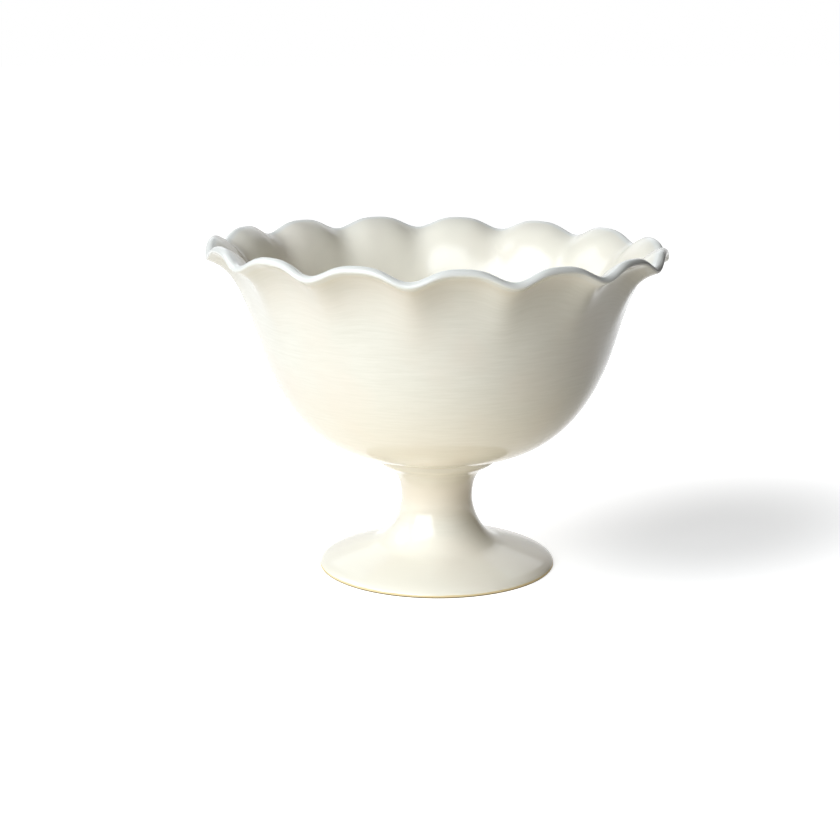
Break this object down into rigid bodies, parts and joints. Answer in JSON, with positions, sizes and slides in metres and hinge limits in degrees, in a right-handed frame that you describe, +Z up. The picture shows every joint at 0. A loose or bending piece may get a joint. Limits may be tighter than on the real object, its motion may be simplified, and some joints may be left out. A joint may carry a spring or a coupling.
{
  "type": "footed trifle bowl",
  "caption": "Wide flared pottery bowl with a ruffled lip on a hollow stem and domed round foot, for layered desserts, fruit and salads.",
  "frame": {"origin": "centre of the foot ring's lower face, on the table", "axes": "+Z up along the bowl's turning axis, the front of the picture towards -Y, +X to its right"},
  "size_m": [0.2557, 0.2563, 0.1889],
  "materials": {
    "glaze": "gloss",
    "slip": "matte"
  },
  "bodies": {
    "root": {"bowl": "glaze", "pedestal": "glaze", "slip_joint": "slip"}
  },
  "joints": []
}
